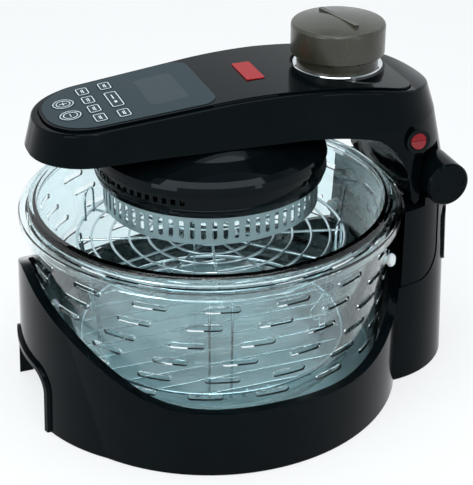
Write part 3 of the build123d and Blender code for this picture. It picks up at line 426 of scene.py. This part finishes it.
def merged(parts):
    """Parts whose centres lie close to one another, joined."""
    joined = []
    for part in parts:
        centre = sum(part, Vector()) / len(part)
        for other in joined:
            if (sum(other, Vector()) / len(other) - centre).length < SPOOL_REACH:
                other.extend(part)
                break
        else:
            joined.append(list(part))
    return joined


def add_knob(built, points):
    """Revolved bumper in the place of the spool with these points."""
    low = Vector([min(p[k] for p in points) for k in range(3)])
    high = Vector([max(p[k] for p in points) for k in range(3)])
    middle = (low + high) / 2
    axis = Vector((middle.x, middle.y - BOWL_Y, 0)).normalized()
    side = axis.cross(UP)
    turns = [2 * math.pi * k / KNOB_STEPS for k in range(KNOB_STEPS)]
    rings = []
    for radius, along in KNOB_PROFILE:
        centre = middle + axis * (along + KNOB_SHIFT)
        offsets = [Vector()]
        if radius:
            offsets = [radius * (side * math.cos(turn) + UP * math.sin(turn)) for turn in turns]
        rings.append([built.verts.new(centre + offset) for offset in offsets])
    for first, second in zip(rings, rings[1:]):
        for k in range(KNOB_STEPS):
            j = (k + 1) % KNOB_STEPS
            if len(first) == 1:
                built.faces.new((first[0], second[k], second[j]))
            elif len(second) == 1:
                built.faces.new((first[j], first[k], second[0]))
            else:
                built.faces.new((first[k], second[k], second[j], first[j]))


def bumper_pieces():
    """Round-ended silicone bumpers in the places of the CAD spools."""
    built = bmesh.new()
    for points in merged(loose_parts(nodes["shroud_bumpers"].data)):
        add_knob(built, points)
    bmesh.ops.recalc_face_normals(built, faces=built.faces)
    for face in built.faces:
        face.smooth = True
    data = bpy.data.meshes.new("bumper_knobs")
    built.to_mesh(data)
    built.free()
    data.materials.append(finishes["white_rubber"])
    piece = bpy.data.objects.new("bumper_knobs", data)
    bpy.context.scene.collection.objects.link(piece)
    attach(piece, "base")
    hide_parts("shroud_bumpers")


bumper_pieces()


# ------------------------------------------------------------ stage and light
FLOOR_SIZE = 12
FLOOR_GLOW = 0.72        # share of plain white that the camera sees; the rest keeps the shadow


def either(tree, first, second):
    """1 where one of two ray kinds is met."""
    node = add(tree, "ShaderNodeMath", operation="MAXIMUM")
    tree.links.new(first, node.inputs[0])
    tree.links.new(second, node.inputs[1])
    return node.outputs["Value"]


def mixed(tree, share, first, second):
    """Two shaders mixed by a share."""
    node = add(tree, "ShaderNodeMixShader")
    tree.links.new(share, node.inputs["Fac"])
    tree.links.new(first, node.inputs[1])
    tree.links.new(second, node.inputs[2])
    return node.outputs["Shader"]


def pale_floor():
    """Pale floor that keeps a soft shadow and reads white to the camera."""
    material, tree, shader = new_material("pale_floor")
    set_inputs(shader, {"Base Color": (0.86, 0.87, 0.88, 1), "Roughness": 0.9})
    output = next(n for n in tree.nodes if n.type == "OUTPUT_MATERIAL")
    glow = add(tree, "ShaderNodeEmission", Color=(0.99, 0.995, 1.0, 1), Strength=1.0)
    path = add(tree, "ShaderNodeLightPath")
    share = add(tree, "ShaderNodeMath", operation="MULTIPLY")
    share.inputs[1].default_value = FLOOR_GLOW
    seen = either(tree, path.outputs["Is Camera Ray"], path.outputs["Is Transmission Ray"])
    tree.links.new(either(tree, seen, path.outputs["Is Glossy Ray"]), share.inputs[0])
    both = mixed(tree, share.outputs["Value"], shader.outputs["BSDF"], glow.outputs["Emission"])
    tree.links.new(both, output.inputs["Surface"])
    return material


def make_floor():
    """Large floor under the feet."""
    bpy.ops.mesh.primitive_plane_add(size=FLOOR_SIZE, location=(0, 0, 0))
    floor = bpy.context.object
    floor.name = "floor"
    floor.data.materials.append(pale_floor())


def make_world():
    """White for the camera and through glass, a dimmer studio for light and gloss."""
    world = bpy.data.worlds.new("studio")
    bpy.context.scene.world = world
    world.use_nodes = True
    tree = world.node_tree
    tree.nodes.clear()
    output = tree.nodes.new("ShaderNodeOutputWorld")
    white = add(tree, "ShaderNodeBackground", Color=(0.985, 0.992, 1.0, 1), Strength=1.0)
    room = add(tree, "ShaderNodeBackground", Strength=1.0)
    shine = add(tree, "ShaderNodeBackground", Strength=1.0)
    place = add(tree, "ShaderNodeTexCoord")
    split = add(tree, "ShaderNodeSeparateXYZ")
    tree.links.new(place.outputs["Generated"], split.inputs["Vector"])
    height = split.outputs["Z"]
    tree.links.new(shades(tree, height, (0.16, 0.20, 0.22), (0.62, 0.72, 0.76), 0.0, 0.9),
                   room.inputs["Color"])
    tree.links.new(shades(tree, height, (0.93, 0.97, 1.0), (0.22, 0.30, 0.33), 0.5, 0.85),
                   shine.inputs["Color"])
    path = add(tree, "ShaderNodeLightPath")
    seen = either(tree, path.outputs["Is Camera Ray"], path.outputs["Is Transmission Ray"])
    studio = mixed(tree, path.outputs["Is Glossy Ray"],
                   room.outputs["Background"], shine.outputs["Background"])
    tree.links.new(mixed(tree, seen, studio, white.outputs["Background"]), output.inputs["Surface"])


def softbox(name, place, target, width, height, power, colour=(1, 1, 1)):
    """Area light aimed at a point."""
    light = bpy.data.lights.new(name, "AREA")
    light.shape = "RECTANGLE"
    light.size, light.size_y = width, height
    light.energy = power
    light.color = colour
    obj = bpy.data.objects.new(name, light)
    bpy.context.scene.collection.objects.link(obj)
    obj.location = place
    obj.rotation_mode = "QUATERNION"
    obj.rotation_quaternion = (Vector(target) - Vector(place)).to_track_quat("-Z", "Y")


def make_lights():
    """Plain studio light: broad top and front boxes, a strip behind and a small box for the gloss."""
    middle = (0, BOWL_Y, AIM_HEIGHT)
    softbox("top_box", (0.2, -0.1, 1.9), middle, 1.5, 1.5, 22, (0.97, 0.99, 1.0))
    softbox("front_box", (0.9, -1.7, 0.9), middle, 0.9, 1.2, 11, (0.96, 0.99, 1.0))
    softbox("strip_right", (1.9, 0.9, 0.75), middle, 0.25, 1.3, 3, (0.95, 0.99, 1.0))
    softbox("key_spot", (1.5, -0.5, 1.5), middle, 0.35, 0.35, 7)


def make_camera():
    """Camera of the photograph."""
    right = Vector((math.cos(VIEW_AZIMUTH), math.sin(VIEW_AZIMUTH), 0))
    ahead = Vector((-math.sin(VIEW_AZIMUTH) * math.cos(VIEW_ELEVATION),
                    math.cos(VIEW_AZIMUTH) * math.cos(VIEW_ELEVATION), -math.sin(VIEW_ELEVATION)))
    up = right.cross(ahead)
    data = bpy.data.cameras.new("camera")
    data.sensor_width = SENSOR
    data.lens = FOCAL_PIXELS * SENSOR / PHOTO_HEIGHT
    camera = bpy.data.objects.new("camera", data)
    bpy.context.scene.collection.objects.link(camera)
    turn = Matrix((right, up, -ahead)).transposed().to_4x4()
    camera.matrix_world = Matrix.Translation(CAMERA_PLACE) @ turn
    bpy.context.scene.camera = camera


make_floor()
make_world()
make_lights()
make_camera()
bpy.context.scene.view_settings.view_transform = "Standard"
